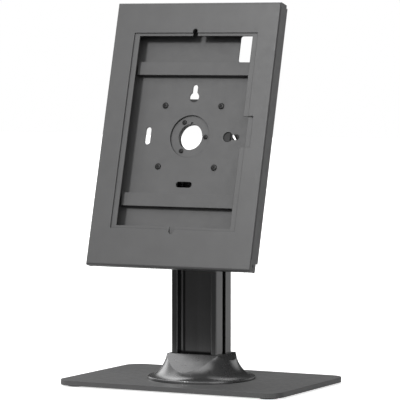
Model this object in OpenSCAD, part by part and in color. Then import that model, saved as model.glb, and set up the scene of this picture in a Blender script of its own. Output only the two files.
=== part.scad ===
// Tablet security kiosk stand, in millimetres.
// The origin is on the table, under the middle of the base plate. The screen
// side faces -Y. The head is drawn in its own upright frame and then tilted:
// there X runs across, Y runs back from the front face of the cover (y = 0)
// and Z runs up from the swivel centre (z = 0).

/* [Base plate] */
// Width of the base plate
base_w = 296; // [240:1:360]
// Depth of the base plate
base_d = 196; // [170:1:260]
// Thickness of the base plate
base_t = 6; // [4:0.5:10]
// Corner radius of the base plate
base_corner_r = 20; // [8:1:30]
// Diameter of a rubber foot
foot_d = 24; // [16:1:28]
// Height of a rubber foot
foot_h = 2; // [1.5:0.5:6]
// Distance of a foot's centre from the plate's edges
foot_inset = 20; // [16:1:40]

/* [Column] */
// Width of the column extrusion
col_w = 61; // [56:1:66]
// Depth of the column extrusion
col_d = 42; // [40:1:50]
// Length of the column extrusion
col_h = 250; // [240:1:258]
// Outer corner radius of the column
col_corner_r = 3; // [1:0.5:5]
// Width of the cable channels in the front and back
channel_w = 43.8; // [40:0.2:44.4]
// Depth of each cable channel
channel_deep = 11.7; // [9:0.1:13]
// Chamfer along the inner corners of a channel
channel_chamfer = 1.7; // [1:0.1:3]
// Radius of the lips beside the channels
channel_lip_r = 3; // [1:0.5:4]
// Width of the slot opening in each side
side_slot_w = 8.4; // [5:0.1:8.8]
// Inner width of the side T-slot
tslot_w = 11; // [9:0.5:12]
// Depth of the side T-slot
tslot_deep = 9; // [6:0.5:10]
// Thickness of the lips of the side T-slot
tslot_lip = 1.4; // [1.2:0.1:3]
// Thread size of the screws in the column's ends
column_screw_d = 4; // [3:0.5:4]

/* [Collar] */
// Diameter of the collar's round flange
collar_d = 130; // [120:1:150]
// Thickness of the collar's flange at its rim
collar_rim_t = 3.4; // [3:0.1:4.5]
// Height of the collar
collar_h = 31; // [26:0.5:40]
// Wall of the collar around the column
collar_wall = 2.9; // [2:0.1:4]
// Clearance between collar and column
collar_gap = 0.6; // [0.3:0.1:1.5]
// Lean of the collar's four flats from upright
collar_flat_angle = 51; // [45:1:56]

/* [Cover] */
// Width of the front cover
cover_w = 218; // [212:1:230]
// Height of the cover's top above the swivel centre
cover_top = 160.5; // [158:0.5:175]
// Depth of the hinge line below the swivel centre
hinge_drop = 155.6; // [152:0.1:170]
// Depth of the cover's side walls
cover_deep = 19.5; // [19:0.5:24]
// Depth of the cover's top wall
top_wall_deep = 16.5; // [14:0.5:18]
// Sheet thickness of cover and tray
sheet_t = 1.5; // [1:0.1:1.8]
// Half the thickness of the folded bottom edge
fold_half = 7.35; // [7:0.05:8]
// Outer bend radius along the bottom edge
bottom_bend_r = 2.6; // [2:0.1:3]
// Outer bend radius along the top edge
top_bend_r = 2.5; // [2:0.1:3]
// Outer bend radius along the sides
side_bend_r = 1.1; // [0.5:0.1:1.4]
// Width of the window
window_w = 165.8; // [150:0.2:172]
// Height of the window
window_h = 240.2; // [225:0.2:246]
// Height of the window's centre above the swivel centre
window_rise = 2.9; // [0:0.1:6]
// Offset of the window's centre to the right
window_right = 0.7; // [0:0.1:2]
// Height of the relief beside the window's right edge
relief_h = 37.6; // [20:0.2:60]
// Reach of the relief beyond the window's edge
relief_w = 6.6; // [2:0.1:8]
// Width of the notches for camera and button
notch_w = 6.2; // [5:0.2:9]
// Reach of a notch beyond the window's edge
notch_reach = 5; // [3.5:0.1:8]
// Width of the window frame's lip at the sides
lip_side = 7.1; // [3:0.1:8]
// Width of the window frame's lip at top and bottom
lip_end = 3.6; // [2:0.2:6]
// Width of the window frame outside the window
frame_margin = 14; // [10:1:18]

/* [Tray] */
// Clearance between tray and cover at each side
tray_gap = 0.6; // [0.4:0.1:1]
// Height of the tray's back above the swivel centre
tray_top = 157; // [155:0.5:160]
// Height of the tray's lower edge above the hinge line
tray_above_hinge = 4.6; // [4.6:0.1:8]
// Depth of the tray's side walls
tray_wall_deep = 10; // [6:0.5:11]
// Diameter of the hole round the swivel
tray_bore_d = 52; // [50:0.5:56]
// Reach of the tablet rests in front of the tray's back
rest_h = 8; // [5:0.5:10]
// Height of each tablet rest
rest_w = 16; // [12:0.5:20]
// Length of each tablet rest
rest_l = 154; // [120:1:180]
// Height of the upper rest's centre above the swivel centre
upper_rest_z = 81.4; // [75:0.2:86]
// Depth of the lower rest's centre below the swivel centre
lower_rest_drop = 79.6; // [72:0.2:86]
// Width of the camera cut-out
camera_w = 18; // [14:0.5:22]
// Height of the camera cut-out
camera_h = 32; // [24:0.5:34]
// Distance of the camera cut-out's centre to the right
camera_x = 61.8; // [56:0.2:66]
// Height of the camera cut-out's centre
camera_z = 107.5; // [106:0.5:120]

/* [Wall mounting holes] */
// Diameter of a keyhole's entry
keyhole_d = 12.4; // [10:0.1:14]
// Width of a keyhole's slot
keyhole_slot_w = 6.6; // [5:0.2:8]
// Distance of a keyhole's entry from the swivel centre
keyhole_at = 49.6; // [49:0.1:53]
// Distance of a keyhole's end from the swivel centre
keyhole_end = 64.8; // [60:0.1:68]
// Length of a plain mounting slot
plain_slot_l = 21.2; // [14:0.2:26]
// Width of a plain mounting slot
plain_slot_w = 7; // [5:0.2:8]
// Distance of the plain slots from the swivel centre
plain_slot_at = 57.5; // [55:0.1:61]
// Offset of the side keyhole and side slot to the right
holes_right = 1.4; // [0:0.1:2]
// Offset of the top keyhole and bottom slot downwards
holes_down = 1.4; // [0:0.1:2]

/* [Swivel] */
// Hole spacing of the mounting plate
vesa_pitch = 75; // [75, 76]
// Width of the mounting plate
vesa_w = 106; // [96:1:107]
// Height of the mounting plate
vesa_h = 92; // [88:1:93]
// Diameter of the cable bore through the swivel
bore_d = 31.4; // [26:0.2:33]
// Diameter of the swivel bush
bush_d = 46; // [45:0.5:48]
// Radial running clearance of the bush
bush_gap = 0.05; // [0.03:0.01:0.1]
// Diameter of the retaining ring
ring_d = 60; // [58:0.5:60]
// Pitch radius of the ring screws
ring_screw_r = 20.2; // [19.6:0.1:20.6]
// Radius of the stop pin's path
stop_r = 38; // [37:0.1:39]
// Diameter of the stop pin
stop_pin_d = 4; // [3:0.2:4.4]

/* [Tilt] */
// Lean of the head in the photograph
tilt = 15; // [5:1:30]
// Most upright lean of the head
tilt_min = 0; // [0:1:4]
// Flattest lean of the head
tilt_max = 75; // [40:1:76]
// Pivot's place along Y
pivot_y = -24; // [-26:1:-22]
// Height of the pivot above the column's top
pivot_rise = 16; // [14:1:20]
// Pivot's distance behind the cover's face
pivot_back = 31.5; // [31.5:0.5:34]
// Pivot's drop below the swivel centre
pivot_drop = 24; // [22:1:28]
// Radius of the guide bolt's path
guide_r = 32; // [30:1:33]
// Thread size of the pivot bolts
pivot_d = 8; // [6:1:8]
// Thread size of the guide bolts
guide_d = 6; // [5:1:6]
// Distance between the inner faces of the yoke's cheeks
cheek_span = 90.4; // [90:0.2:92]
// Thickness of the yoke's plate and cheeks
yoke_t = 2.5; // [2:0.1:3]
// Thickness of the column bracket
bracket_t = 3; // [2.5:0.1:3.4]
// Thickness of a nylon tilt washer
tilt_washer_t = 0.6; // [0.4:0.1:1]

/* [Lock] */
// Height of the lock above the swivel centre
lock_z = 140; // [138:0.5:141]
// Diameter of the lock's barrel
lock_barrel_d = 18; // [16:0.5:18.5]
// Diameter of the lock's plug
plug_d = 11; // [9:0.5:12]
// Reach of the cam from the lock's centre
cam_reach = 15.5; // [14:0.5:16]

/* [Hidden] */
$fn = 64;
// A cut runs this far past the faces that it opens
cut = 1;
// Gap between faces of bodies that slide past each other
slide_gap = 0.2;

// Stand
foot_top = foot_h;
plate_top = foot_h + base_t;
col_top = plate_top + col_h;
port_x = (col_w + channel_w) / 4;
port_y = col_d / 4 + channel_deep / 4 + 1;
chamber_w = col_w - 2 * tslot_deep - 12;
chamber_d = col_d - 2 * channel_deep - 5;
base_screw_head_d = 2 * column_screw_d;
base_screw_head_t = column_screw_d / 2;
base_screw_grip = 12;
collar_top_w = col_w + 2 * (collar_gap + collar_wall);
collar_top_d = col_d + 2 * (collar_gap + collar_wall);
collar_neck_r = norm([collar_top_w, collar_top_d]) / 2;

// Depths in the head, from the cover's face
frame_t = 1.5;
tray_front = cover_deep - sheet_t;
tray_back = cover_deep;
vesa_t = 2;
dish_deep = 2.5;
dish_floor = tray_back + dish_deep;
dish_back = dish_floor + vesa_t;
dish_d = ring_d + 2;
washer_t = 0.6;
yoke_front = dish_back + slide_gap + washer_t;
yoke_back = yoke_front + yoke_t;
ring_t = 1.6;
ring_back = dish_floor - slide_gap;
cheek_in = cheek_span / 2;
cheek_out = cheek_in + yoke_t;
cheek_r = guide_r + guide_d / 2 + 6.2;
cheek_margin = 12;
slot_w = guide_d + 0.4;
arm_end_r = 9;
arm_in = cheek_in - tilt_washer_t - 0.1 - bracket_t;
arm_out = arm_in + bracket_t;
pivot_z = col_top + pivot_rise;
tray_out = cover_w / 2 - sheet_t - tray_gap;
fold_in = fold_half - sheet_t;
hinge_pin_d = 4;
hinge_gap = 0.05;
ear_t = 3;
tray_drop = hinge_drop - tray_above_hinge;
ear_r = fold_in - 0.65;
fold_under = 2.7;
slit_h = 1.5;
seam_w = 0.8;
seam_deep = 0.5;
catch_front = 9.2;
catch_t = 1.5;
cam_t = 2;
cam_front = catch_front - 0.6 - cam_t;
barrel_front = catch_front - 0.2;

// Shapes that repeat

// Rectangle about the middle with round corners
module round_rect(w, h, r) {
    square([w - 2 * r, h], center = true);
    square([w, h - 2 * r], center = true);
    for (x = [-1, 1], y = [-1, 1])
        translate([x * (w / 2 - r), y * (h / 2 - r)])
            circle(r);
}

// Slot from one point to another, with round ends
module slot_between(a, b, w) {
    way = b - a;
    translate(a)
        rotate(atan2(way[1], way[0])) {
            translate([0, -w / 2])
                square([norm(way), w]);
            circle(d = w);
            translate([norm(way), 0])
                circle(d = w);
        }
}

// Pie slice of the given radius between two angles
module wedge(r, from, to) {
    steps = ceil((to - from) / 30);
    polygon(concat([[0, 0]], [for (i = [0:steps])
        let(a = from + (to - from) * i / steps) 2 * r * [cos(a), sin(a)]]));
}

function polar(r, a) = r * [cos(a), sin(a)];

// Slot that follows an arc about the origin, with round ends
module arc_slot(r, w, from, to) {
    steps = 24;
    caps = 8;
    way = to - from;
    polygon(concat(
        [for (i = [0:steps]) polar(r + w / 2, from + way * i / steps)],
        [for (i = [1:caps - 1]) polar(r, to) + polar(w / 2, to + 180 * i / caps)],
        [for (i = [0:steps]) polar(r - w / 2, to - way * i / steps)],
        [for (i = [1:caps - 1]) polar(r, from) + polar(w / 2, from + 180 + 180 * i / caps)]));
}

// A flat outline drawn in X and Z, raised from depth y0 back to y1
module plate(y0, y1) {
    translate([0, y1, 0])
        rotate([90, 0, 0])
            linear_extrude(y1 - y0)
                children();
}

// A flat outline drawn in Y and Z, raised from x0 to x1
module side_plate(x0, x1) {
    translate([x0, 0, 0])
        rotate([90, 0, 90])
            linear_extrude(x1 - x0)
                children();
}

// The same side plate on both sides
module both_sides(x0, x1) {
    side_plate(x0, x1) children();
    side_plate(-x1, -x0) children();
}

// A round bar along Y
module rod_y(d, y0, y1, x = 0, z = 0) {
    translate([x, y1, z])
        rotate([90, 0, 0])
            cylinder(d = d, h = y1 - y0);
}

// A round bar along X
module rod_x(d, x0, x1, y = 0, z = 0) {
    translate([x0, y, z])
        rotate([0, 90, 0])
            cylinder(d = d, h = x1 - x0);
}

// The frame of the tilted head
module head() {
    translate([0, pivot_y, pivot_z])
        rotate([-tilt, 0, 0])
            translate([0, -pivot_back, pivot_drop])
                children();
}

// Stand

module base_outline() {
    round_rect(base_w, base_d, base_corner_r);
}

module at_ports() {
    for (x = [-port_x, port_x], y = [-port_y, port_y])
        translate([x, y, 0])
            children();
}

module base_plate() {
    color("dimgray")
        difference() {
            translate([0, 0, foot_top])
                linear_extrude(base_t)
                    base_outline();
            at_ports() {
                translate([0, 0, foot_top - cut])
                    cylinder(d = column_screw_d + 0.4, h = base_t + 2 * cut);
                translate([0, 0, foot_top - cut])
                    cylinder(d = base_screw_head_d + 0.4, h = cut + base_screw_head_t + 0.4);
            }
        }
}

module base_feet() {
    edge = foot_h / 3;
    color("#202020")
        for (x = [-1, 1], y = [-1, 1])
            translate([x * (base_w / 2 - foot_inset), y * (base_d / 2 - foot_inset), 0])
                rotate_extrude()
                    polygon([[0, 0], [foot_d / 2 - edge, 0], [foot_d / 2, edge],
                             [foot_d / 2, foot_h], [0, foot_h]]);
}

// A channel's outline, open to the front, with its mouth rounded out
module channel_outline() {
    floor_y = col_d / 2 - channel_deep;
    half = channel_w / 2;
    polygon([[-half, -col_d], [half, -col_d],
             [half, -floor_y - channel_chamfer], [half - channel_chamfer, -floor_y],
             [channel_chamfer - half, -floor_y], [-half, -floor_y - channel_chamfer]]);
    for (side = [-1, 1])
        translate([side * (half + channel_lip_r), channel_lip_r - col_d / 2])
            difference() {
                translate([-channel_lip_r, -channel_lip_r - cut])
                    square([2 * channel_lip_r, channel_lip_r + cut]);
                circle(channel_lip_r);
                translate([side > 0 ? 0 : -2 * channel_lip_r, -2 * channel_lip_r])
                    square([2 * channel_lip_r, 4 * channel_lip_r]);
            }
}

module side_slot_outline() {
    translate([col_w / 2 - tslot_lip - cut, -side_slot_w / 2])
        square([tslot_lip + 2 * cut, side_slot_w]);
    translate([col_w / 2 - tslot_deep, -tslot_w / 2])
        square([tslot_deep - tslot_lip, tslot_w]);
}

module column_outline() {
    difference() {
        round_rect(col_w, col_d, col_corner_r);
        channel_outline();
        mirror([0, 1]) channel_outline();
        side_slot_outline();
        mirror([1, 0]) side_slot_outline();
        square([chamber_w, chamber_d], center = true);
        for (x = [-port_x, port_x], y = [-port_y, port_y])
            translate([x, y])
                circle(d = column_screw_d);
    }
}

module column() {
    color("#3c3c3e")
        translate([0, 0, plate_top])
            linear_extrude(col_h)
                column_outline();
}

module base_screws() {
    color("silver")
        at_ports() {
            translate([0, 0, foot_top + 0.2])
                cylinder(d = base_screw_head_d, h = base_screw_head_t);
            translate([0, 0, foot_top + 0.2])
                cylinder(d = column_screw_d, h = base_t + base_screw_grip);
        }
}

// Flared outline of the collar, from the rim up to the neck
module collar_profile(inset) {
    rim_r = collar_d / 2 - inset;
    neck_r = collar_neck_r - inset;
    steps = 10;
    // The flare runs out as a quarter of a superellipse
    flare = [for (i = [0:steps])
        let(a = 90 * i / steps,
            out = 1 - pow(sin(a), 1.1),
            up = 1 - pow(cos(a), 1.25))
        [neck_r + (rim_r - 2 - neck_r) * out,
         collar_rim_t - inset + (collar_h - collar_rim_t) * up]];
    polygon(concat([[0, -cut * sign(inset)], [rim_r, -cut * sign(inset)],
                    [rim_r, collar_rim_t - inset]],
                   flare, [[0, collar_h - inset]]));
}

// Four leaning planes that cut the flats
module collar_flats(inset) {
    reach = collar_d;
    for (side = [0:3]) {
        out = (side % 2 == 0 ? collar_top_w : collar_top_d) / 2 - inset;
        rotate([0, 0, 90 * side])
            translate([out, 0, collar_h])
                rotate([0, 90 - collar_flat_angle - 90, 0])
                    translate([0, -reach, -reach])
                        cube([reach, 2 * reach, 2 * reach]);
    }
}

module collar_body(inset) {
    difference() {
        rotate_extrude($fn = 96)
            collar_profile(inset);
        collar_flats(inset);
    }
}

module collar() {
    hole_w = col_w + 2 * collar_gap;
    hole_d = col_d + 2 * collar_gap;
    color("#4a4a4c")
        translate([0, 0, plate_top])
            difference() {
                collar_body(0);
                collar_body(collar_wall);
                translate([-hole_w / 2, -hole_d / 2, -cut])
                    cube([hole_w, hole_d, collar_h + 2 * cut]);
            }
}

// Tilt bracket on the column

// Side view of an arm, from the column's top to pivot and guide bolt
module arm_outline() {
    guide_y = pivot_y + guide_r;
    polygon([[-col_d / 2, col_top], [col_d / 2, col_top],
             [col_d / 2, col_top + bracket_t], [guide_y + arm_end_r, pivot_z],
             [guide_y, pivot_z + arm_end_r], [pivot_y, pivot_z + arm_end_r],
             [pivot_y, pivot_z], [pivot_y - arm_end_r * cos(30), pivot_z - arm_end_r * sin(30)],
             [-col_d / 2, col_top + bracket_t]]);
    translate([pivot_y, pivot_z]) circle(arm_end_r);
    translate([guide_y, pivot_z]) circle(arm_end_r);
}

module column_bracket() {
    color("#333335")
        difference() {
            union() {
                both_sides(arm_in, arm_out) arm_outline();
                translate([-arm_out, -col_d / 2, col_top])
                    cube([2 * arm_out, col_d, bracket_t]);
            }
            rod_x(pivot_d + 0.2, -arm_out - cut, arm_out + cut, pivot_y, pivot_z);
            rod_x(guide_d + 0.2, -arm_out - cut, arm_out + cut, pivot_y + guide_r, pivot_z);
            at_ports()
                translate([0, 0, col_top - cut])
                    cylinder(d = column_screw_d + 0.4, h = bracket_t + 2 * cut);
            translate([0, 0, col_top - cut])
                linear_extrude(bracket_t + 2 * cut)
                    round_rect(chamber_w, chamber_d, 2);
        }
}

module bracket_screws() {
    color("silver")
        at_ports() {
            translate([0, 0, col_top - base_screw_grip])
                cylinder(d = column_screw_d, h = base_screw_grip + bracket_t);
            translate([0, 0, col_top + bracket_t])
                cylinder(d1 = 2 * column_screw_d, d2 = 1.6 * column_screw_d, h = 0.6 * column_screw_d);
        }
}

// Bolts through cheek and arm on both sides, with a washer under the head
module side_bolts(d, y, z) {
    washer_in = cheek_out + 0.1;
    washer_d = 2 * d;
    nut_t = 0.8 * d;
    for (side = [0, 1])
        mirror([side, 0, 0]) {
            rod_x(d, arm_in - nut_t - 1, washer_in + 1, y, z);
            rod_x(washer_d, washer_in, washer_in + 1, y, z);
            translate([washer_in + 1, y, z])
                rotate([0, 90, 0])
                    cylinder(d = 1.8 * d, h = 0.6 * d, $fn = 6);
        }
}

module side_nuts(d, y, z) {
    nut_t = 0.8 * d;
    for (side = [0, 1])
        mirror([side, 0, 0])
            translate([arm_in - nut_t, y, z])
                rotate([0, 90, 0])
                    difference() {
                        cylinder(d = 1.8 * d, h = nut_t, $fn = 6);
                        translate([0, 0, -cut])
                            cylinder(d = d, h = nut_t + 2 * cut);
                    }
}

module pivot_bolts() {
    color("#1c1c1c") side_bolts(pivot_d, pivot_y, pivot_z);
}

module pivot_nuts() {
    color("silver") side_nuts(pivot_d, pivot_y, pivot_z);
}

module guide_bolts() {
    color("#1c1c1c") side_bolts(guide_d, pivot_y + guide_r, pivot_z);
}

module guide_nuts() {
    color("silver") side_nuts(guide_d, pivot_y + guide_r, pivot_z);
}

// Nylon discs between the arms and the cheeks
module tilt_washers() {
    color("#d8d8d0")
        for (side = [0, 1], bolt = [[pivot_y, pivot_d], [pivot_y + guide_r, guide_d]])
            mirror([side, 0, 0])
                translate([arm_out, bolt[0], pivot_z])
                    rotate([0, 90, 0])
                        difference() {
                            cylinder(d = 2 * arm_end_r - 1, h = tilt_washer_t);
                            translate([0, 0, -cut])
                                cylinder(d = bolt[1] + 0.1, h = tilt_washer_t + 2 * cut);
                        }
}

// Yoke and swivel, in the head's frame

// Side view of a cheek, about the pivot
module cheek_outline() {
    intersection() {
        circle(cheek_r, $fn = 128);
        wedge(cheek_r, tilt_min - cheek_margin, tilt_max + cheek_margin);
    }
    circle(arm_end_r);
    translate([yoke_front - pivot_back, -arm_end_r - 4])
        square([yoke_t + 1.5, cheek_r]);
    translate([yoke_front - pivot_back, -arm_end_r])
        square([pivot_back - yoke_front, 2 * arm_end_r]);
}

module yoke_plate() {
    bottom = vesa_h / 2;
    top = vesa_h / 2 - 2;
    difference() {
        translate([0, (top - bottom) / 2])
            round_rect(2 * cheek_out, top + bottom, 6);
        circle(d = bore_d);
        // Reliefs for the bracket's arms and nuts
        for (side = [0, 1])
            mirror([side, 0]) {
                translate([arm_in - 1.3, -pivot_drop - arm_end_r - 2.5])
                    square([cheek_in - arm_in + 1.3, 2 * arm_end_r + 14.5]);
                translate([arm_in - pivot_d - 0.4, -pivot_drop - arm_end_r - 2.5])
                    square([cheek_in - arm_in + pivot_d + 0.4, 2 * arm_end_r + 2]);
            }
        for (a = [0, 120, 240])
            rotate(a)
                translate([ring_screw_r, 0])
                    circle(d = 2.6);
        rotate(90) translate([stop_r, 0]) circle(d = stop_pin_d);
    }
}

module tilt_yoke() {
    color("#3a3a3c")
        head()
            union() {
                plate(yoke_front, yoke_back) yoke_plate();
                translate([0, pivot_back, -pivot_drop])
                    both_sides(cheek_in, cheek_out)
                        difference() {
                            cheek_outline();
                            circle(d = pivot_d + 0.1);
                            arc_slot(guide_r, slot_w, tilt_min - 0.5, tilt_max + 0.5);
                        }
            }
}

module swivel_bush() {
    color("ivory")
        head()
            difference() {
                rod_y(bush_d, ring_back, yoke_front);
                rod_y(bore_d, ring_back - cut, yoke_front + cut);
                for (a = [0, 120, 240])
                    rotate([0, -a, 0])
                        rod_y(3.2, ring_back - cut, yoke_front + cut, ring_screw_r);
            }
}

module retaining_ring() {
    color("#3f3f41")
        head()
            difference() {
                rod_y(ring_d, ring_back - ring_t, ring_back);
                rod_y(bore_d, ring_back - ring_t - cut, ring_back + cut);
                translate([-1.4, ring_back - ring_t - cut, bore_d / 2 - cut])
                    cube([2.8, ring_t + 2 * cut, 2 + cut]);
                for (a = [0, 120, 240])
                    rotate([0, -a, 0])
                        rod_y(3.2, ring_back - ring_t - cut, ring_back + cut, ring_screw_r);
            }
}

module ring_screws() {
    color("#2a2a2a")
        head()
            for (a = [0, 120, 240])
                rotate([0, -a, 0]) {
                    rod_y(3, ring_back - ring_t, yoke_front, ring_screw_r);
                    rod_y(2.6, yoke_front, yoke_back, ring_screw_r);
                    rod_y(5.6, ring_back - ring_t - 1.2, ring_back - ring_t, ring_screw_r);
                }
}

module friction_washer() {
    color("#d8d8d0")
        head()
            difference() {
                rod_y(dish_d, yoke_front - washer_t, yoke_front);
                rod_y(bush_d + 0.2, yoke_front - washer_t - cut, yoke_front + cut);
            }
}

module stop_pin() {
    color("silver")
        head()
            rod_y(stop_pin_d, tray_back + 0.7, yoke_back, 0, stop_r);
}

// Mounting plate with a round dish for the retaining ring
module vesa_plate() {
    color("#38383a")
        head()
            difference() {
                union() {
                    plate(tray_back, tray_back + vesa_t)
                        round_rect(vesa_w, vesa_h, 5);
                    rod_y(dish_d + 2 * vesa_t, tray_back, dish_back);
                }
                rod_y(dish_d, tray_back - cut, dish_floor);
                rod_y(bush_d + 2 * bush_gap, tray_back, dish_back + cut);
                plate(tray_back - cut, tray_back + vesa_t + cut)
                    arc_slot(stop_r, stop_pin_d + 0.6, 88, 182);
                at_vesa()
                    rod_y(4.2, tray_back - cut, tray_back + vesa_t + cut);
            }
}

module at_vesa() {
    for (x = [-1, 1], z = [-1, 1])
        translate([x * vesa_pitch / 2, 0, z * vesa_pitch / 2])
            children();
}

// Tray with its wall mounting holes
module keyhole() {
    translate([keyhole_at, 0])
        circle(d = keyhole_d);
    slot_between([keyhole_at, 0], [keyhole_end - keyhole_slot_w / 2, 0], keyhole_slot_w);
}

module plain_slot() {
    half = (plain_slot_l - plain_slot_w) / 2;
    slot_between([plain_slot_at, -half], [plain_slot_at, half], plain_slot_w);
}

module tray_back_outline() {
    difference() {
        translate([0, (tray_top - tray_drop) / 2])
            square([2 * tray_out, tray_top + tray_drop], center = true);
        circle(d = tray_bore_d);
        translate([holes_right, 0]) {
            keyhole();
            rotate(180) plain_slot();
        }
        translate([0, -holes_down]) {
            rotate(90) keyhole();
            rotate(270) plain_slot();
        }
        translate([camera_x, camera_z])
            round_rect(camera_w, camera_h, 3);
        translate([0, lock_z])
            circle(d = lock_barrel_d + 0.2);
    }
}

// Hinge ear, about the hinge line
module ear_outline() {
    circle(ear_r);
    translate([-4.4, 0])
        square([8.8, 22]);
}

module back_tray() {
    wall_front = tray_front - tray_wall_deep;
    top_front = tray_front - 6;
    color("#424244")
        head()
            difference() {
                union() {
                    plate(tray_front, tray_back) tray_back_outline();
                    both_sides(tray_out - sheet_t, tray_out)
                        translate([wall_front, -tray_drop])
                            square([tray_back - wall_front, tray_top + tray_drop]);
                    translate([-tray_out, top_front, tray_top - sheet_t])
                        cube([2 * tray_out, tray_back - top_front, sheet_t]);
                    translate([-tray_out, 2 * fold_half + 1, -tray_drop])
                        cube([2 * tray_out, tray_back - 2 * fold_half - 1, sheet_t]);
                    translate([0, fold_half, -hinge_drop])
                        both_sides(tray_out - ear_t, tray_out) ear_outline();
                }
                rod_x(hinge_pin_d, -cover_w, cover_w, fold_half, -hinge_drop);
                at_vesa()
                    rod_y(4.4, tray_front - cut, tray_back + cut);
            }
}

module vesa_screws() {
    color("#303030")
        head()
            at_vesa() {
                rod_y(7.6, tray_front - 1.2, tray_front);
                rod_y(4, tray_front, tray_back + vesa_t + 0.6);
            }
}

// Folded sheet channel that the tablet rests against
module tablet_rest(z) {
    color("#454547")
        head()
            translate([0, tray_front - rest_h, z - rest_w / 2])
                difference() {
                    translate([-rest_l / 2, 0, 0])
                        cube([rest_l, rest_h, rest_w]);
                    translate([sheet_t - rest_l / 2, sheet_t, sheet_t])
                        cube([rest_l - 2 * sheet_t, rest_h, rest_w - 2 * sheet_t]);
                }
}

module upper_rest() {
    tablet_rest(upper_rest_z);
}

module lower_rest() {
    tablet_rest(-lower_rest_drop);
}

module hinge_pins() {
    color("silver")
        head()
            for (side = [0, 1])
                mirror([side, 0, 0])
                    rod_x(hinge_pin_d, tray_out - ear_t - 1, cover_w / 2, fold_half, -hinge_drop);
}

// Lock

module lock_housing() {
    color("silver")
        head()
            difference() {
                union() {
                    rod_y(lock_barrel_d, barrel_front, tray_back + cut, 0, lock_z);
                    rod_y(lock_barrel_d + 5, tray_back, tray_back + 2.6, 0, lock_z);
                }
                rod_y(plug_d + 0.1, barrel_front - cut, tray_back + 2.6 + cut, 0, lock_z);
            }
}

module lock_nut() {
    nut_t = 3;
    color("#a8a8a8")
        head()
            translate([0, tray_front, lock_z])
                rotate([90, 0, 0])
                    difference() {
                        cylinder(d = lock_barrel_d + 6, h = nut_t, $fn = 6);
                        translate([0, 0, -cut])
                            cylinder(d = lock_barrel_d, h = nut_t + 2 * cut);
                    }
}

module lock_plug() {
    color("gainsboro")
        head()
            difference() {
                rod_y(plug_d, cam_front + cam_t, tray_back + 2.8, 0, lock_z);
                translate([-0.7, tray_back - 4, lock_z - 3.6])
                    cube([1.4, 10, 7.2]);
            }
}

// Cam in its open place, pointing to the side
module lock_cam() {
    half = 5.5;
    color("silver")
        head()
            translate([0, 0, lock_z])
                plate(cam_front, cam_front + cam_t)
                    difference() {
                        union() {
                            circle(half + 1);
                            translate([0, -half])
                                square([cam_reach - half, 2 * half]);
                            translate([cam_reach - half, 0])
                                circle(half);
                        }
                        circle(d = 4);
                    }
}

module cam_screw() {
    color("silver")
        head() {
            rod_y(8, cam_front - 2, cam_front, 0, lock_z);
            rod_y(4, cam_front, cam_front + cam_t, 0, lock_z);
        }
}

// Cover

// Side view of the folded bottom edge, about the hinge line: a square with
// rounded lower corners
module fold_outline(half, r) {
    translate([-half, r - half])
        square([2 * half, half]);
    translate([r - half, -half])
        square([2 * (half - r), half]);
    for (side = [-1, 1])
        translate([side * (half - r), r - half])
            circle(r);
}

// Side view of the cover's side wall: full depth in the middle, shallower
// at the top corner and folded under at the hinge
module side_wall_outline() {
    rear_top = cover_top - 3.6;
    rear_bottom = -hinge_drop + 4.2;
    translate([0, -hinge_drop])
        square([2 * fold_half, cover_top + hinge_drop - top_bend_r]);
    translate([top_bend_r, cover_top - top_bend_r - cut])
        square([top_wall_deep - top_bend_r, top_bend_r + cut]);
    translate([top_bend_r, cover_top - top_bend_r])
        circle(top_bend_r);
    translate([cut, rear_bottom])
        square([cover_deep - cut, rear_top - rear_bottom]);
    translate([fold_half, -hinge_drop])
        fold_outline(fold_half, bottom_bend_r);
}

// Section of the folded sheet: face, top wall and bottom edge
module sheet_section() {
    difference() {
        intersection() {
            side_wall_outline();
            union() {
                translate([0, -hinge_drop])
                    square([fold_half, 2 * cover_top + hinge_drop]);
                translate([0, cover_top - 2 * top_bend_r])
                    square([cover_deep, 4 * top_bend_r]);
                translate([0, -hinge_drop - 2 * fold_half])
                    square([fold_half + fold_under, 2 * fold_half]);
            }
        }
        translate([sheet_t, -hinge_drop])
            square([cover_deep, cover_top + hinge_drop - top_bend_r]);
        translate([top_bend_r, cover_top - top_bend_r - cut])
            square([cover_deep, top_bend_r + cut - sheet_t]);
        translate([top_bend_r, cover_top - top_bend_r])
            circle(top_bend_r - sheet_t);
        translate([fold_half, -hinge_drop])
            fold_outline(fold_in, bottom_bend_r - sheet_t);
    }
}

// Window with its relief at the right and the two notches
module window_outline(inset_side, inset_end) {
    half_w = window_w / 2 - inset_side;
    half_h = window_h / 2 - inset_end;
    translate([window_right, window_rise]) {
        round_rect(2 * half_w, 2 * half_h, 1);
        translate([half_w - 2, -relief_h / 2])
            square([relief_w + 2, relief_h]);
        for (z = [-1, 1])
            slot_between([-window_right, z * (window_h / 2 - 12)],
                         [-window_right, z * (window_h / 2 + notch_reach - notch_w / 2)], notch_w);
    }
}

// Fine seams where the front plate meets the side plates
module cover_seams() {
    both_sides(cover_w / 2 - seam_deep, cover_w / 2 + cut)
        translate([sheet_t, fold_half - hinge_drop])
            square([seam_w, cover_top + hinge_drop - fold_half - 2 * top_bend_r]);
}

module front_cover() {
    color("#464648")
        head()
            difference() {
                intersection() {
                    union() {
                        side_plate(-cover_w / 2, cover_w / 2) sheet_section();
                        both_sides(cover_w / 2 - sheet_t, cover_w / 2) side_wall_outline();
                    }
                    translate([0, cover_deep, -2 * cover_top])
                        linear_extrude(4 * cover_top)
                            difference() {
                                round_rect(cover_w, 2 * cover_deep, side_bend_r);
                                translate([-cover_w, cut])
                                    square([2 * cover_w, cover_deep]);
                            }
                }
                plate(-cut, sheet_t + cut) window_outline(0, 0);
                cover_seams();
                rod_x(hinge_pin_d + 2 * hinge_gap, -cover_w, cover_w, fold_half, -hinge_drop);
            }
}

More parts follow.
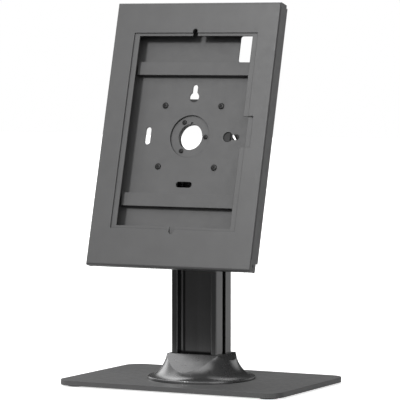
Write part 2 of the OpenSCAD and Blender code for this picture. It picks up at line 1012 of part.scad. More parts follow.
// Frame welded behind the window, whose lip holds the tablet
module window_frame() {
    color("#3e3e40")
        head()
            plate(sheet_t, sheet_t + frame_t)
                difference() {
                    translate([window_right, window_rise])
                        round_rect(window_w + 2 * frame_margin, window_h + 2 * frame_margin, 4);
                    window_outline(lip_side, lip_end);
                    // Slit along the top of the relief
                    translate([window_right + window_w / 2 - 3.4, window_rise + relief_h / 2 - slit_h])
                        square([relief_w + 4, slit_h]);
                }
}

// Tab welded under the top wall, behind which the cam turns
module cover_catch() {
    tab_w = 36;
    low = lock_z + lock_barrel_d / 2 + 1;
    color("#3e3e40")
        head()
            translate([-tab_w / 2, catch_front, low])
                cube([tab_w, catch_t, cover_top - sheet_t - low]);
}

base_plate();
base_feet();
column();
base_screws();
collar();
column_bracket();
bracket_screws();
pivot_bolts();
pivot_nuts();
guide_bolts();
guide_nuts();
tilt_washers();
tilt_yoke();
swivel_bush();
retaining_ring();
ring_screws();
friction_washer();
stop_pin();
vesa_plate();
back_tray();
vesa_screws();
upper_rest();
lower_rest();
hinge_pins();
lock_housing();
lock_nut();
lock_plug();
lock_cam();
cam_screw();
front_cover();
window_frame();
cover_catch();
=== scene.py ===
# %% [markdown]
# A tablet kiosk stand, dressed for its picture.
# The solid model already holds every sheet, screw and pin at its true size, so this lesson
# keeps it and works on what makes it look real: the paint, the anodised column, the drive
# recesses of the screws, the flared collar, the rubber feet and the lock. Lengths are written
# in mm, and MM turns them into the metres of the scene.

# %% Load the solid model
import math

import bmesh
import bpy
from mathutils import Matrix, Vector


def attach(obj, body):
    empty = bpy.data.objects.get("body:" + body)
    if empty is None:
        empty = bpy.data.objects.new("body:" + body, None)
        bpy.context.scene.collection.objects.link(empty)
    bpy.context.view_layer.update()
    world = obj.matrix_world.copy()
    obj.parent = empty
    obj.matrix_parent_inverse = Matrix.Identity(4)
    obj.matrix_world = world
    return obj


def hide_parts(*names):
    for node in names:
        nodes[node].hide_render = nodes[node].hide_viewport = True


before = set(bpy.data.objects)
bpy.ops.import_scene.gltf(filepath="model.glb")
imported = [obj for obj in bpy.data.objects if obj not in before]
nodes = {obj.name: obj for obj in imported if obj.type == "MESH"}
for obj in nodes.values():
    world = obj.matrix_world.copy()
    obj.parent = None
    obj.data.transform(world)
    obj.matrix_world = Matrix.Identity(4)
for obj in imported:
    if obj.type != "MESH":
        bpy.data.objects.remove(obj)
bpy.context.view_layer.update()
scene = bpy.context.scene
MM = 0.001
print("solid model:", len(nodes), "nodes")

# %% [markdown]
# The picture of a product is usually taken with a long lens from several metres away, which
# keeps the upright edges nearly parallel. The camera stands 27 degrees to the right of the
# front, only 3 degrees above the level, and looks at the middle of the stand's height.

# %% Camera
PICTURE_PX = 400
FOCAL_PX = 2732.0
SENSOR = 36.0
FAR_END = 50
TARGET = Vector((-1.9, 0.0, 223.2)) * MM
DISTANCE = 3.2894


def towards(azimuth, elevation):
    """A direction in degrees; azimuth is counted from the front towards the right."""
    a, e = math.radians(azimuth), math.radians(elevation)
    return Vector((math.sin(a) * math.cos(e), -math.cos(a) * math.cos(e), math.sin(e)))


def aimed(obj, target, way, distance):
    """Puts a camera or a lamp at a distance from its target and turns it there."""
    obj.location = target + way * distance
    obj.rotation_euler = (-way).to_track_quat("-Z", "Y").to_euler()
    scene.collection.objects.link(obj)


camera_data = bpy.data.cameras.new("camera")
camera_data.sensor_width = SENSOR
camera_data.lens = SENSOR * FOCAL_PX / PICTURE_PX
camera_data.clip_end = FAR_END
camera = bpy.data.objects.new("camera", camera_data)
aimed(camera, TARGET, towards(27.297, 3.25), DISTANCE)
scene.camera = camera
scene.view_settings.view_transform = "Standard"
print("lens:", round(camera_data.lens, 1), "mm")

# %% [markdown]
# The head leans back, so its pieces are easier to make in an upright frame of their own. There
# X runs across, Y runs back from the front face and Z runs up from the swivel centre. One
# matrix then puts a finished mesh in its place, while the object itself stays at the origin.

# %% The head's frame
LEAN = math.radians(15)
PIVOT_Y = -24
PIVOT_Z = 274
PIVOT_BACK = 31.5
PIVOT_DROP = 24
head = (Matrix.Translation(Vector((0, PIVOT_Y, PIVOT_Z)) * MM)
        @ Matrix.Rotation(-LEAN, 4, "X")
        @ Matrix.Translation(Vector((0, -PIVOT_BACK, PIVOT_DROP)) * MM))
print("swivel centre:", [round(v, 4) for v in head @ Vector((0, 0, 0))])

# %% [markdown]
# Paint and metal need small helpers. A material is a tree of nodes, and most links here run
# from object coordinates through a noise texture to colour, roughness or bump. Object
# coordinates are used because every object sits at the origin, so the grain has one size
# on all pieces. One helper adds a node with its settings, which must come first, because
# they decide which inputs it has.

# %% Node helpers
NOISE_RANGE = (0.3, 0.7)


def new_material(name):
    material = bpy.data.materials.new(name)
    material.use_nodes = True
    tree = material.node_tree
    return material, tree, tree.nodes["Principled BSDF"]


def add_node(tree, kind, values=None, **settings):
    """A shader node of a kind, with its settings and then the values of its inputs."""
    node = tree.nodes.new("ShaderNode" + kind)
    for name, setting in settings.items():
        setattr(node, name, setting)
    for name, value in (values or {}).items():
        node.inputs[name].default_value = value
    return node


def object_noise(tree, scale, detail=3.0, stretch=(1, 1, 1)):
    """Noise in object coordinates, scale in cycles per metre, stretched along the axes."""
    coords = add_node(tree, "TexCoord")
    mapping = add_node(tree, "Mapping", {"Scale": stretch})
    noise = add_node(tree, "TexNoise", {"Scale": scale, "Detail": detail})
    tree.links.new(coords.outputs["Object"], mapping.inputs["Vector"])
    tree.links.new(mapping.outputs["Vector"], noise.inputs["Vector"])
    return noise.outputs["Fac"]


def ranged(tree, value, source, target, interpolation="LINEAR"):
    """Maps a value from one range to another, and holds it at the ends."""
    node = add_node(tree, "MapRange", {"From Min": source[0], "From Max": source[1],
                                       "To Min": target[0], "To Max": target[1]},
                    interpolation_type=interpolation)
    tree.links.new(value, node.inputs["Value"])
    return node.outputs["Result"]


def between(tree, noise, low, high):
    """Maps a noise value, which stays near 0.5, to a range from low to high."""
    return ranged(tree, noise, NOISE_RANGE, (low, high))


def tinted(tree, factor, dark, light):
    """A colour between dark and light, as the factor goes from 0 to 1."""
    mix = add_node(tree, "Mix", {"A": (*dark, 1), "B": (*light, 1)}, data_type="RGBA")
    tree.links.new(factor, mix.inputs["Factor"])
    return mix.outputs["Result"]


print("node helpers ready")

# %% [markdown]
# A finish is more than a colour. Ambient occlusion finds the inner corners, and the colour is
# darkened there as painted shade. Paint also rolls over the edges, and the Bevel node bends the
# normals there without any new faces. A bump node then adds the skin on top of those normals.

# %% Surface helpers
SHUT_TO_OPEN = (0.35, 0.95)


def bump(tree, height, strength, distance, normal):
    node = add_node(tree, "Bump", {"Strength": strength, "Distance": distance})
    tree.links.new(height, node.inputs["Height"])
    tree.links.new(normal, node.inputs["Normal"])
    return node.outputs["Normal"]


def shade_painted_in_corners(tree, colour, reach, darkest):
    """Painted shade: multiplies a colour by the open share of the surface's surroundings within
    reach.
    """
    share = add_node(tree, "AmbientOcclusion", {"Distance": reach}, samples=8)
    amount = ranged(tree, share.outputs["AO"], SHUT_TO_OPEN, (darkest, 1))
    shade = add_node(tree, "Mix", {"Factor": 1}, data_type="RGBA", blend_type="MULTIPLY")
    tree.links.new(colour, shade.inputs["A"])
    tree.links.new(amount, shade.inputs["B"])
    return shade.outputs["Result"]


def rounded_edges(tree, radius):
    """A normal that rolls over the edges, as paint does."""
    node = add_node(tree, "Bevel", {"Radius": radius}, samples=6)
    return node.outputs["Normal"]


def grey(level):
    """A nearly neutral grey, given as it should appear on the screen from 0 to 255."""
    linear = ((level / 255 + 0.055) / 1.055) ** 2.4
    return (linear, linear, linear * 1.01)


print("grey 110 in linear light:", round(grey(110)[0], 3))

# %% [markdown]
# Powder coat is baked from dry powder, so it pulls into a fine, slightly uneven skin with a
# dull shine. The colour hardly varies, the roughness varies a little more, and two sizes of
# bump give the skin: a grain of about half a millimetre and a soft waviness of some
# millimetres. The collar is smoother and partly metallic, so it has almost no grain.

# %% Powder coat
CLOUDS = 45
PATCHES = 160
WAVES = 320
GRAINS = 1900
# How far the painted shade in the inner corners reaches, and how dark it gets.
CORNER_REACH = 0.0022
CORNER_DARKEST = 0.45


def powder_coat(name, level, roughness=0.46, grain=0.35, gloss=0.45, metallic=0.0,
                edge=0.0007):
    material, tree, shader = new_material(name)
    cloudy = between(tree, object_noise(tree, CLOUDS, 2), 0, 1)
    colour = tinted(tree, cloudy, grey(level - 2), grey(level + 2))
    # Painted shade: the colour is darkened in the inner corners.
    corner_shaded_colour = shade_painted_in_corners(tree, colour, CORNER_REACH, CORNER_DARKEST)
    tree.links.new(corner_shaded_colour, shader.inputs["Base Color"])
    uneven = between(tree, object_noise(tree, PATCHES, 4), roughness - 0.04, roughness + 0.05)
    tree.links.new(uneven, shader.inputs["Roughness"])
    shader.inputs["Specular IOR Level"].default_value = gloss
    shader.inputs["Metallic"].default_value = metallic
    edges = rounded_edges(tree, edge)
    waves = bump(tree, object_noise(tree, WAVES, 2), 0.3 * grain, 0.0004, edges)
    skin = bump(tree, object_noise(tree, GRAINS, 3), grain, 0.00012, waves)
    tree.links.new(skin, shader.inputs["Normal"])
    return material


case_paint = powder_coat("case_paint", 84, roughness=0.38, gloss=0.5)
tray_paint = powder_coat("tray_paint", 91, roughness=0.5)
base_paint = powder_coat("base_paint", 90, roughness=0.42, gloss=0.4)
bracket_paint = powder_coat("bracket_paint", 84, roughness=0.5)
collar_paint = powder_coat("collar_paint", 114, roughness=0.23, grain=0.02, metallic=0.75,
                           edge=0.0009)
# The mounting plate's paint is darkened as painted shade, for the plate that lies in shadow
# behind the tray's holes.
plate_paint_with_painted_shade = powder_coat("plate_paint_with_painted_shade", 58, roughness=0.5, gloss=0.2)
print("six paints")

# %% [markdown]
# The column is drawn through a die and then anodised. The die leaves fine lines and broader
# bands along the length. Noise becomes such lines when it is stretched a hundred times along
# Z, and they drive both the roughness and the bump. The bands only change the colour a little.

# %% Anodised aluminium
LINE_SCALE = 2600
BAND_SCALE = 260
column_finish, tree, shader = new_material("column_finish")
die_lines = object_noise(tree, LINE_SCALE, 2, stretch=(1, 1, 0.01))
die_bands = object_noise(tree, BAND_SCALE, 2, stretch=(1, 1, 0.02))
anodised = tinted(tree, between(tree, die_bands, 0, 1), grey(90), grey(98))
tree.links.new(anodised, shader.inputs["Base Color"])
tree.links.new(between(tree, die_lines, 0.12, 0.18), shader.inputs["Roughness"])
shader.inputs["Metallic"].default_value = 0.95
lined = bump(tree, die_lines, 0.18, 0.00008, rounded_edges(tree, 0.0014))
tree.links.new(lined, shader.inputs["Normal"])
print("column finish ready")

# %% [markdown]
# The bolts and nuts are zinc plated or blackened, and the lock is plated with chrome. Zinc
# grows in crystals, so its colour varies a lot over short distances. Black oxide is a dark
# metal with an oily shine. One function makes all three, because they differ only in their
# level of grey, their roughness and their share of metal.


# %% Plated and blackened steel
def plated(name, level, roughness, metallic):
    material, tree, shader = new_material(name)
    bloom = between(tree, object_noise(tree, 900, 3), 0, 1)
    colour = tinted(tree, bloom, grey(level - 12), grey(level + 8))
    tree.links.new(colour, shader.inputs["Base Color"])
    rough = between(tree, object_noise(tree, 1400, 2), roughness - 0.06, roughness + 0.08)
    tree.links.new(rough, shader.inputs["Roughness"])
    shader.inputs["Metallic"].default_value = metallic
    fine = bump(tree, object_noise(tree, 5000, 2), 0.08, 0.00005, rounded_edges(tree, 0.0002))
    tree.links.new(fine, shader.inputs["Normal"])
    return material


zinc = plated("zinc", 190, 0.34, 1.0)
black_oxide = plated("black_oxide", 34, 0.40, 0.5)
lock_chrome = plated("lock_chrome", 214, 0.16, 1.0)
print("three metal finishes")

# %% [markdown]
# The washers and the swivel's bush are nylon, and the feet are rubber. Both are plain and
# hardly shine. Rubber is the rougher of the two, and its bump is five times as strong.


# %% Nylon and rubber
def moulded(name, level, roughness, grain):
    material, tree, shader = new_material(name)
    mottled = between(tree, object_noise(tree, 420, 3), 0, 1)
    colour = tinted(tree, mottled, grey(level - 4), grey(level + 4))
    tree.links.new(colour, shader.inputs["Base Color"])
    rough = between(tree, object_noise(tree, 700, 2), roughness - 0.05, roughness + 0.05)
    tree.links.new(rough, shader.inputs["Roughness"])
    fine = bump(tree, object_noise(tree, 2500, 3), grain, 0.0001, rounded_edges(tree, 0.0003))
    tree.links.new(fine, shader.inputs["Normal"])
    return material


nylon = moulded("nylon", 196, 0.45, 0.1)
black_nylon = moulded("black_nylon", 58, 0.42, 0.1)
rubber = moulded("rubber", 44, 0.82, 0.5)
print("three moulded finishes")

# %% [markdown]
# Every node of the solid model gets one of these finishes. A dictionary keeps the pairs in
# one place, and the last line prints any node that was forgotten.

# %% Dress the solid model
finish_of = {
    case_paint: ["front_cover", "window_frame", "cover_catch"],
    tray_paint: ["back_tray", "upper_rest", "lower_rest", "retaining_ring"],
    base_paint: ["base_plate"],
    bracket_paint: ["column_bracket", "tilt_yoke"],
    collar_paint: ["collar"],
    column_finish: ["column"],
    zinc: ["base_screws", "bracket_screws", "pivot_nuts", "guide_nuts", "stop_pin",
           "lock_nut", "lock_cam", "cam_screw"],
    black_oxide: ["pivot_bolts", "guide_bolts", "ring_screws", "vesa_screws", "hinge_pins"],
    lock_chrome: ["lock_housing", "lock_plug"],
    nylon: ["tilt_washers", "friction_washer"],
    black_nylon: ["swivel_bush"],
    plate_paint_with_painted_shade: ["vesa_plate"],
    rubber: ["base_feet"],
}
for finish, names in finish_of.items():
    for name in names:
        node = nodes[name]
        node.data.materials.clear()
        node.data.materials.append(finish)
dressed = {name for names in finish_of.values() for name in names}
print("without a finish:", sorted(set(nodes) - dressed))

# %% [markdown]
# New pieces start as a bmesh, which is a mesh that can be edited step by step. The first
# helper turns a finished bmesh into an object, shades it, gives it its finish and lets it ride
# on a body of the model, so that it moves when the stand tilts or turns. The others spin a
# profile, repeat a shape at several places, and turn a piece towards the leaning head's front.


# %% From bmesh to piece
def make_piece(name, bm, finish, body, smooth_angle=35):
    bmesh.ops.recalc_face_normals(bm, faces=bm.faces)
    mesh = bpy.data.meshes.new(name)
    bm.to_mesh(mesh)
    bm.free()
    mesh.materials.append(finish)
    mesh.shade_smooth()
    mesh.set_sharp_from_angle(angle=math.radians(smooth_angle))
    piece = bpy.data.objects.new(name, mesh)
    scene.collection.objects.link(piece)
    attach(piece, body)
    print(name, len(mesh.polygons), "faces")
    return piece


def turned(profile, steps=48):
    """A turned shape: a profile of (radius, height) pairs in mm, spun about Z."""
    bm = bmesh.new()
    verts = [bm.verts.new((r * MM, 0, z * MM)) for r, z in profile]
    edges = [bm.edges.new(pair) for pair in zip(verts, verts[1:])]
    bmesh.ops.spin(bm, geom=verts + edges, cent=(0, 0, 0), axis=(0, 0, 1),
                   angle=math.tau, steps=steps, use_merge=True)
    bmesh.ops.remove_doubles(bm, verts=bm.verts, dist=1e-6)
    return bm


def repeated(bm, matrices):
    """The same bmesh at several places, as one bmesh."""
    single = bpy.data.meshes.new("single")
    bm.to_mesh(single)
    bm.free()
    whole = bmesh.new()
    for matrix in matrices:
        before = len(whole.verts)
        whole.from_mesh(single)
        whole.verts.ensure_lookup_table()
        bmesh.ops.transform(whole, matrix=matrix, verts=whole.verts[before:])
    bpy.data.meshes.remove(single)
    return whole


def facing(point, turn):
    """Puts a piece made along +Z at a point of the head in mm, facing the front."""
    return (head @ Matrix.Translation(Vector(point) * MM)
            @ Matrix.Rotation(math.radians(90), 4, "X")
            @ Matrix.Rotation(math.radians(turn), 4, "Z"))


print("piece helpers ready")

# %% [markdown]
# The screws in the swivel and in the mounting square are pan heads with a cross recess. A
# grid of three by three faces has such a cross in it: its middle row and column. They are
# pushed in for the recess, and the grid's rim is then pulled out ring by ring into the round
# crown. This takes no cutting with another solid, so the mesh stays clean. The lock's keyway
# is made later in the same way.


# %% A round head with a recess
def only(geom, kind):
    return [item for item in geom if isinstance(item, kind)]


def recess_grid(outer, inner, height):
    """Three by three flat faces; outer and inner are half sizes of the grid and its middle."""
    bm = bmesh.new()
    bmesh.ops.create_grid(bm, x_segments=3, y_segments=3, size=1)
    for vert in bm.verts:
        for axis in (0, 1):
            half = outer[axis] if abs(vert.co[axis]) > 0.9 else inner[axis]
            vert.co[axis] = math.copysign(half, vert.co[axis]) * MM
        vert.co.z = height * MM
    return bm


def sink(bm, faces, depth, taper=1):
    """Pushes faces in by a depth in mm and narrows the floor of the recess."""
    made = bmesh.ops.extrude_face_region(bm, geom=faces)
    bmesh.ops.delete(bm, geom=faces, context="FACES_ONLY")
    floor_verts = only(made["geom"], bmesh.types.BMVert)
    bmesh.ops.translate(bm, verts=floor_verts, vec=(0, 0, -depth * MM))
    bmesh.ops.scale(bm, verts=floor_verts, vec=(taper, taper, 1))


def grow_rim(bm, rings):
    """Pulls the rim out through rings of (radius, height) in mm and closes the last one."""
    rim = [edge for edge in bm.edges if edge.is_boundary]
    bmesh.ops.subdivide_edges(bm, edges=rim, cuts=2)
    rim = [edge for edge in bm.edges if edge.is_boundary]
    for radius, height in rings:
        grown = bmesh.ops.extrude_edge_only(bm, edges=rim)["geom"]
        for vert in only(grown, bmesh.types.BMVert):
            angle = math.atan2(vert.co.y, vert.co.x)
            vert.co = (math.cos(angle) * radius * MM, math.sin(angle) * radius * MM,
                       height * MM)
        rim = only(grown, bmesh.types.BMEdge)
    bmesh.ops.holes_fill(bm, edges=rim, sides=0)


CROWN = ((0.72, 0.97), (0.88, 0.84), (0.97, 0.62), (1.0, 0.35), (1.0, 0.0))
RECESS_DEPTH = 0.55
RECESS_TAPER = 0.6


def cross_head(radius, height, reach, width):
    """A pan head with a cross recess, which has a reach from the centre and a width in mm."""
    bm = recess_grid((reach, reach), (width / 2, width / 2), height)
    arms = [face for face in bm.faces
            if min(abs(face.calc_center_median().x), abs(face.calc_center_median().y)) < 1e-5]
    sink(bm, arms, RECESS_DEPTH * height, RECESS_TAPER)
    grow_rim(bm, [(out * radius, up * height) for out, up in CROWN])
    return bm


def shank(bm, radius, length):
    """Adds a plain shank under the head."""
    made = bmesh.ops.create_cone(bm, cap_ends=True, segments=24, radius1=radius * MM,
                                 radius2=radius * MM, depth=length * MM)
    bmesh.ops.translate(bm, verts=made["verts"], vec=(0, 0, -length / 2 * MM))
    return bm


print("screw helpers ready")

# %% [markdown]
# Seven of these screws are seen through the window: four hold the tray on the mounting plate,
# in a square of 75 mm, and three smaller ones hold the ring of the swivel. Nobody turns all
# screws to the same angle, so each cross gets a turn of its own.

# %% Screws of the mounting square and of the swivel ring
MOUNT_HALF = 37.5
TRAY_FRONT = 18.0
mounting = [facing((x, TRAY_FRONT, z), turn)
            for x, z, turn in ((-MOUNT_HALF, -MOUNT_HALF, 12), (MOUNT_HALF, -MOUNT_HALF, 40),
                               (-MOUNT_HALF, MOUNT_HALF, 63), (MOUNT_HALF, MOUNT_HALF, 28))]
mounting_screws = make_piece(
    "mounting_screws", repeated(shank(cross_head(3.8, 1.2, 1.9, 0.8), 2, 4.1), mounting),
    black_oxide, "case_back")
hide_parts("vesa_screws")

RING_FRONT = 20.2
RING_SCREW_R = 20.2
around = [facing((RING_SCREW_R * math.cos(math.radians(place)), RING_FRONT,
                  RING_SCREW_R * math.sin(math.radians(place))), turn)
          for place, turn in ((0, 20), (120, 75), (240, 50))]
swivel_screws = make_piece(
    "swivel_screws", repeated(shank(cross_head(2.8, 1.2, 1.5, 0.7), 1.3, 7.0), around),
    black_oxide, "yoke")
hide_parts("ring_screws")

# %% [markdown]
# The tilt bolts have hexagon heads. A plain hexagon looks like a toy, because a real head is
# chamfered on its outer face, and sits on a washer. The chamfer is a bevel of the outer
# corners, and washer and shaft are turned shapes with rounded edges.

# %% Hexagon bolts
ARM_IN = 41.4
WASHER_IN = 47.8
WASHER_T = 1.0
WASHER_ROUND = 0.2
TIP_ROUND = 0.5


def hexagon(across_corners, height, chamfer):
    bm = bmesh.new()
    bmesh.ops.create_cone(bm, cap_ends=True, segments=6, radius1=across_corners / 2 * MM,
                          radius2=across_corners / 2 * MM, depth=height * MM)
    bmesh.ops.translate(bm, verts=bm.verts, vec=(0, 0, height / 2 * MM))
    outer = [edge for edge in bm.edges
             if all(vert.co.z > (height - 0.01) * MM for vert in edge.verts)]
    bmesh.ops.bevel(bm, geom=outer, offset=chamfer * MM, segments=2, profile=0.5,
                    affect="EDGES", material=-1)
    return bm


def join(bm, other):
    """Adds another bmesh to a bmesh, as loose geometry."""
    mesh = bpy.data.meshes.new("joined")
    other.to_mesh(mesh)
    other.free()
    bm.from_mesh(mesh)
    bpy.data.meshes.remove(mesh)
    return bm


def side_bolt(thread):
    """A bolt along +Z from the inside of an arm out to its head, all in mm."""
    tip = ARM_IN - 0.8 * thread - 1
    shaft = thread / 2
    washer_out = WASHER_IN + WASHER_T
    bm = hexagon(1.8 * thread, 0.6 * thread, 0.09 * thread)
    bmesh.ops.translate(bm, verts=bm.verts, vec=(0, 0, washer_out * MM))
    join(bm, turned([(0, WASHER_IN), (thread - WASHER_ROUND, WASHER_IN),
                     (thread, WASHER_IN + WASHER_ROUND), (thread, washer_out - WASHER_ROUND),
                     (thread - WASHER_ROUND, washer_out), (0, washer_out)]))
    return join(bm, turned([(0, tip), (shaft - TIP_ROUND, tip), (shaft, tip + TIP_ROUND),
                            (shaft, WASHER_IN), (0, WASHER_IN)], steps=32))


def outward(y):
    """Both sides of the stand at once: +Z of the piece becomes +X and -X."""
    place = Matrix.Translation(Vector((0, y, PIVOT_Z)) * MM)
    return [place @ Matrix.Rotation(math.radians(turn), 4, "Y") for turn in (90, -90)]


GUIDE_Y = 8
tilt_bolts = make_piece("tilt_bolts", repeated(side_bolt(8), outward(PIVOT_Y)),
                        black_oxide, "stand")
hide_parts("pivot_bolts")
slot_bolts = make_piece("slot_bolts", repeated(side_bolt(6), outward(GUIDE_Y)),
                        black_oxide, "stand")
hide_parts("guide_bolts")

# %% [markdown]
# The collar shows the light best, because it is smooth and turns from a rectangle round the
# column into a round flange. Its shape is a flared ring, cut by four leaning planes that end
# above the flange, so the rim stays whole. The solid model has ten steps in the flare, which a
# shiny paint would show, so the piece is made again with forty. The same function gives the
# outside and the hollow, a little smaller each way. The lids that close each shell while it is
# cut are then taken off, and three fills join both shells and the column's hole into one wall.

# %% Collar
COLUMN_HALF = (30.5, 21.0)
COLUMN_GAP = 0.6
COLLAR_WALL = 2.9
COLLAR_FOOT = 8.0
COLLAR_H = 31.0
RIM_R = 65.0
RIM_T = 3.4
RIM_ROUND = 0.9
RIM_ROUND_STEPS = 5
RIM_LAND = 2
FLARE_STEPS = 40
FLARE_OUT = 1.1
FLARE_UP = 1.25
FLAT_LEAN = math.radians(52.3)
FLAT_LOW = 6.5
COLLAR_TURN_STEPS = 128


def flare(inset):
    """Side view of the collar from the rim up to the neck."""
    rim = RIM_R - inset
    neck = math.hypot(*[half + COLUMN_GAP + COLLAR_WALL for half in COLUMN_HALF]) - inset
    low = RIM_T - inset
    line = [(rim, 0)]
    if inset == 0:
        for step in range(RIM_ROUND_STEPS + 1):
            angle = math.pi / 2 * step / RIM_ROUND_STEPS
            line.append((rim - RIM_ROUND * (1 - math.cos(angle)),
                         low - RIM_ROUND * (1 - math.sin(angle))))
    else:
        line.append((rim, low))
    for step in range(FLARE_STEPS + 1):
        angle = math.pi / 2 * step / FLARE_STEPS
        out = 1 - math.sin(angle) ** FLARE_OUT
        up = 1 - max(math.cos(angle), 0) ** FLARE_UP
        line.append((neck + (rim - RIM_LAND - neck) * out, low + (COLLAR_H - RIM_T) * up))
    return line


def open_edges(bm, height):
    """The open edges of a bmesh at a height in mm."""
    return [edge for edge in bm.edges if edge.is_boundary
            and all(abs(vert.co.z - height * MM) < 1e-6 for vert in edge.verts)]


def flared_shell(inset):
    """The flared ring with a lid on top, cut by the four leaning planes."""
    bm = turned(flare(inset), steps=COLLAR_TURN_STEPS)
    bmesh.ops.edgeloop_fill(bm, edges=open_edges(bm, COLLAR_H - inset))
    low = (FLAT_LOW - inset) * MM
    for half, along in zip(COLUMN_HALF, ((1, 0), (0, 1))):
        reach = half + COLUMN_GAP + COLLAR_WALL - inset
        for way in (1, -1):
            side = Vector((along[0] * way, along[1] * way, 0))
            normal = side * math.cos(FLAT_LEAN) + Vector((0, 0, math.sin(FLAT_LEAN)))
            upper = [vert for vert in bm.verts if vert.co.z > low]
            upper += [item for item in bm.edges[:] + bm.faces[:]
                      if all(vert.co.z > low for vert in item.verts)]
            cut = bmesh.ops.bisect_plane(
                bm, geom=upper, dist=1e-7,
                plane_co=(side * reach + Vector((0, 0, COLLAR_H))) * MM, plane_no=normal,
                clear_outer=True)
            bmesh.ops.edgeloop_fill(bm, edges=only(cut["geom_cut"], bmesh.types.BMEdge))
    return bm


def without_lid(bm):
    lid = max(bm.faces, key=lambda face: face.calc_center_median().z)
    bmesh.ops.delete(bm, geom=[lid], context="FACES_ONLY")
    return bm


collar = without_lid(flared_shell(0))
join(collar, without_lid(flared_shell(COLLAR_WALL)))
print("both shells:", len(collar.faces), "faces")

# %% [markdown]
# The hole for the column is a square tube, which is a cube without its two ends. With it the
# open edges at the top, under the top and at the foot can be filled. A closed mesh has no edge
# that belongs to one face only, so the number of such edges is printed. The flats are large
# faces with many corners, and they are shaded flat so that the light on them stays even.

# %% Close the collar
hole = bmesh.new()
bmesh.ops.create_cube(hole, size=1)
bmesh.ops.delete(hole, geom=[face for face in hole.faces if abs(face.normal.z) > 0.5],
                 context="FACES_ONLY")
hole_size = [2 * (half + COLUMN_GAP) for half in COLUMN_HALF] + [COLLAR_WALL]
bmesh.ops.scale(hole, verts=hole.verts, vec=Vector(hole_size) * MM)
bmesh.ops.translate(hole, verts=hole.verts, vec=(0, 0, (COLLAR_H - COLLAR_WALL / 2) * MM))
join(collar, hole)
for height in (COLLAR_H, COLLAR_H - COLLAR_WALL):
    bmesh.ops.triangle_fill(collar, edges=open_edges(collar, height), use_beauty=True)
bmesh.ops.bridge_loops(collar, edges=open_edges(collar, 0))
print("open edges of the collar:", sum(not edge.is_manifold for edge in collar.edges))
bmesh.ops.translate(collar, verts=collar.verts, vec=(0, 0, COLLAR_FOOT * MM))
smooth_collar = make_piece("smooth_collar", collar, collar_paint, "stand",
                           smooth_angle=12)
for polygon in smooth_collar.data.polygons:
    if polygon.loop_total > 12:
        polygon.use_smooth = False
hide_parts("collar")

# %% [markdown]
# Each rubber foot is a moulded disc. Its side leans in a little so that it leaves the mould,
# its edge is rounded, and its sole has a groove that lets it grip. A turned profile gives
# all of this in one go.

# %% Rubber feet
FOOT_X = 128
FOOT_Y = 78
foot = turned([(0, 0.35), (3.0, 0.35), (3.4, 0.0), (7.2, 0.0), (7.6, 0.5), (8.4, 0.5),
               (8.8, 0.0), (11.2, 0.0), (11.7, 0.2), (12.0, 0.7), (11.8, 2.0), (0, 2.0)])
corners = [Matrix.Translation(Vector((x, y, 0)) * MM)
           for x in (-FOOT_X, FOOT_X) for y in (-FOOT_Y, FOOT_Y)]
feet = make_piece("moulded_feet", repeated(foot, corners), rubber, "stand")
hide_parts("base_feet")

# %% [markdown]
# The lock's plug is a small turned face with a keyway. As with the screws, a grid gives the
# keyway, this time from its single middle face, and the rim grows into the round plug.

# %% Lock plug with keyway
LOCK_Z = 140
PLUG_R = 5.5
PLUG_FRONT = 8.6
PLUG_FACE = 22.3
KEYWAY_DEPTH = 6
plug = recess_grid((2.4, 4.2), (0.7, 3.5), PLUG_FACE)
keyway = min(plug.faces, key=lambda face: face.calc_center_median().length)
sink(plug, [keyway], KEYWAY_DEPTH)
grow_rim(plug, [(PLUG_R - 0.5, PLUG_FACE), (PLUG_R - 0.1, PLUG_FACE - 0.25),
                (PLUG_R, PLUG_FACE - 0.6), (PLUG_R, PLUG_FRONT)])
bmesh.ops.transform(plug, matrix=head @ Matrix.Translation(Vector((0, 0, LOCK_Z)) * MM)
                    @ Matrix.Rotation(math.radians(-90), 4, "X"), verts=plug.verts)
keyed_plug = make_piece("keyed_plug", plug, lock_chrome, "lock")
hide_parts("lock_plug")

# %% [markdown]
# The floor and the backdrop look different to different rays. The Light Path node tells which
# kind a ray is, with a 1 or a 0. Math nodes combine these numbers, and a Mix Shader uses the
# result to pick one of two shaders.


# %% Helpers for light paths
def calculated(tree, operation, first, second):
    """The result of a Math node, of which each side is an output or a decimal number."""
    node = add_node(tree, "Math", operation=operation)
    for socket, value in zip(node.inputs, (first, second)):
        if isinstance(value, float):
            socket.default_value = value
        else:
            tree.links.new(value, socket)
    return node.outputs["Value"]


def mixed(tree, factor, first, second):
    """Two shaders mixed by a factor: 0 gives the first and 1 the second."""
    node = add_node(tree, "MixShader")
    for socket, value in zip(node.inputs, (factor, first, second)):
        tree.links.new(value, socket)
    return node.outputs["Shader"]


print("light path helpers ready")

# %% [markdown]
# The floor is plain pale paper, part of the stage and not of the stand. The camera should see
# it white, but a white floor would also throw a lot of light up under the head. So the paper
# has two faces: rays from the camera, and those through glass, meet glowing paper, which still
# shows the soft shadow of the stand, and all others meet a grey one. Reflections in the shiny
# column and collar see white paper behind the stand and grey paper in front of it, as if the
# room before the sheet were dark.

# %% Floor
FLOOR_HALF = 8
PAPER_GREY = 0.07
PAPER_WHITE = 0.8
PAPER_GLOW = 0.78
GREY_UNTIL = -0.45
WHITE_FROM = -0.1
floor_material, tree, grey_paper = new_material("floor_paper")
grey_paper.inputs["Base Color"].default_value = (PAPER_GREY, PAPER_GREY, PAPER_GREY, 1)
grey_paper.inputs["Roughness"].default_value = 0.9
white_paper = add_node(tree, "BsdfDiffuse", {"Color": (PAPER_WHITE, PAPER_WHITE, PAPER_WHITE, 1)})
glow = add_node(tree, "Emission", {"Color": (1, 1, 1, 1), "Strength": PAPER_GLOW})
glowing = add_node(tree, "AddShader")
tree.links.new(white_paper.outputs["BSDF"], glowing.inputs[0])
tree.links.new(glow.outputs["Emission"], glowing.inputs[1])

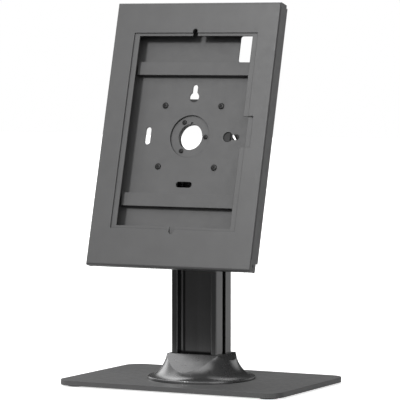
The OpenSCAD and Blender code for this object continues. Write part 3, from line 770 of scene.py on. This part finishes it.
place = add_node(tree, "TexCoord")
along = add_node(tree, "SeparateXYZ")
tree.links.new(place.outputs["Object"], along.inputs["Vector"])
behind = ranged(tree, along.outputs["Y"], (GREY_UNTIL, WHITE_FROM), (0, 1))
ray = add_node(tree, "LightPath")
mirrored = calculated(tree, "MULTIPLY", behind, ray.outputs["Is Glossy Ray"])
unseen = mixed(tree, mirrored, grey_paper.outputs["BSDF"], white_paper.outputs["BSDF"])
seen = calculated(tree, "MAXIMUM", ray.outputs["Is Camera Ray"],
                  ray.outputs["Is Transmission Ray"])
paper = mixed(tree, seen, unseen, glowing.outputs["Shader"])
tree.links.new(paper, tree.nodes["Material Output"].inputs["Surface"])

bm = bmesh.new()
bmesh.ops.create_grid(bm, x_segments=1, y_segments=1, size=FLOOR_HALF)
floor_mesh = bpy.data.meshes.new("floor")
bm.to_mesh(floor_mesh)
bm.free()
floor_mesh.materials.append(floor_material)
floor = bpy.data.objects.new("floor", floor_mesh)
scene.collection.objects.link(floor)
print("floor laid")

# %% [markdown]
# The shadows inside the window tell where the main lamp stands: a little to the left of the
# front, 30 degrees up, and small, because the camera notch throws a sharp streak on the
# tray. All other light comes from the room around the stand.

# %% Key lamp
KEY_SIZE = 0.4
KEY_POWER = 37
KEY_DISTANCE = 3.0
KEY_AIM = Vector((0, 0, 0.25))
key_data = bpy.data.lights.new("key", "AREA")
key_data.shape = "SQUARE"
key_data.size = KEY_SIZE
key_data.energy = KEY_POWER
key = bpy.data.objects.new("key", key_data)
aimed(key, KEY_AIM, towards(-12, 31), KEY_DISTANCE)

# %% [markdown]
# Glossy paint and anodised metal show what stands around them. The room is nearly dark, with
# soft boxes in it. The low ones, left and right, light the column's edges and the foot of the
# collar. The high ones light the flats of the collar and give the faces their slow change from
# side to side. Each box is a direction and a cone, found with a dot product. The backdrop is
# white only for rays that show it, which are those of the camera, those through glass and the
# reflections that point at it, so it throws no light on the paint.

# %% World
WHITE = (1, 1, 1, 1)
ROOM_LIGHT = 0.03
BOXES = ((-35, 38, 14, 38, 0.83),
         (25, 38, 14, 38, 1.5),
         (-90, 38, 14, 38, 0.7),
         (-120, 66, 14, 38, 1.05),
         (-145, 50, 8, 26, 1.7),
         (-118, 20, 6, 20, 2.1),
         (-110, 0, 5, 16, 1.5),
         (62, 3, 8, 22, 2.0))
BACKDROP = (155, 3, 10, 27, 1.0)
world = bpy.data.worlds.new("studio")
world.use_nodes = True
scene.world = world
tree = world.node_tree
room = tree.nodes["Background"]
room.inputs["Color"].default_value = WHITE
coords = add_node(tree, "TexCoord")


def cone(azimuth, elevation, inner, outer, strength):
    """Light from one direction; inner and outer are the half angles of its soft edge."""
    dot = add_node(tree, "VectorMath", operation="DOT_PRODUCT")
    dot.inputs[1].default_value = towards(azimuth, elevation)
    tree.links.new(coords.outputs["Generated"], dot.inputs[0])
    edge = (math.cos(math.radians(outer)), math.cos(math.radians(inner)))
    return ranged(tree, dot.outputs["Value"], edge, (0, strength), "SMOOTHSTEP")


light = cone(*BOXES[0])
for box in BOXES[1:]:
    light = calculated(tree, "ADD", light, cone(*box))
tree.links.new(calculated(tree, "ADD", light, ROOM_LIGHT), room.inputs["Strength"])

backdrop = add_node(tree, "Background", {"Color": WHITE, "Strength": 1.0})
ray = add_node(tree, "LightPath")
plain = calculated(tree, "MAXIMUM", ray.outputs["Is Camera Ray"],
                   ray.outputs["Is Transmission Ray"])
mirrored = calculated(tree, "MULTIPLY", ray.outputs["Is Glossy Ray"], cone(*BACKDROP))
sky = mixed(tree, calculated(tree, "MAXIMUM", plain, mirrored), room.outputs["Background"],
            backdrop.outputs["Background"])
tree.links.new(sky, tree.nodes["World Output"].inputs["Surface"])
print("boxes in the room:", len(BOXES))

# %% [markdown]
# The last line ends the scene.

# %% End
print("end of the scene")
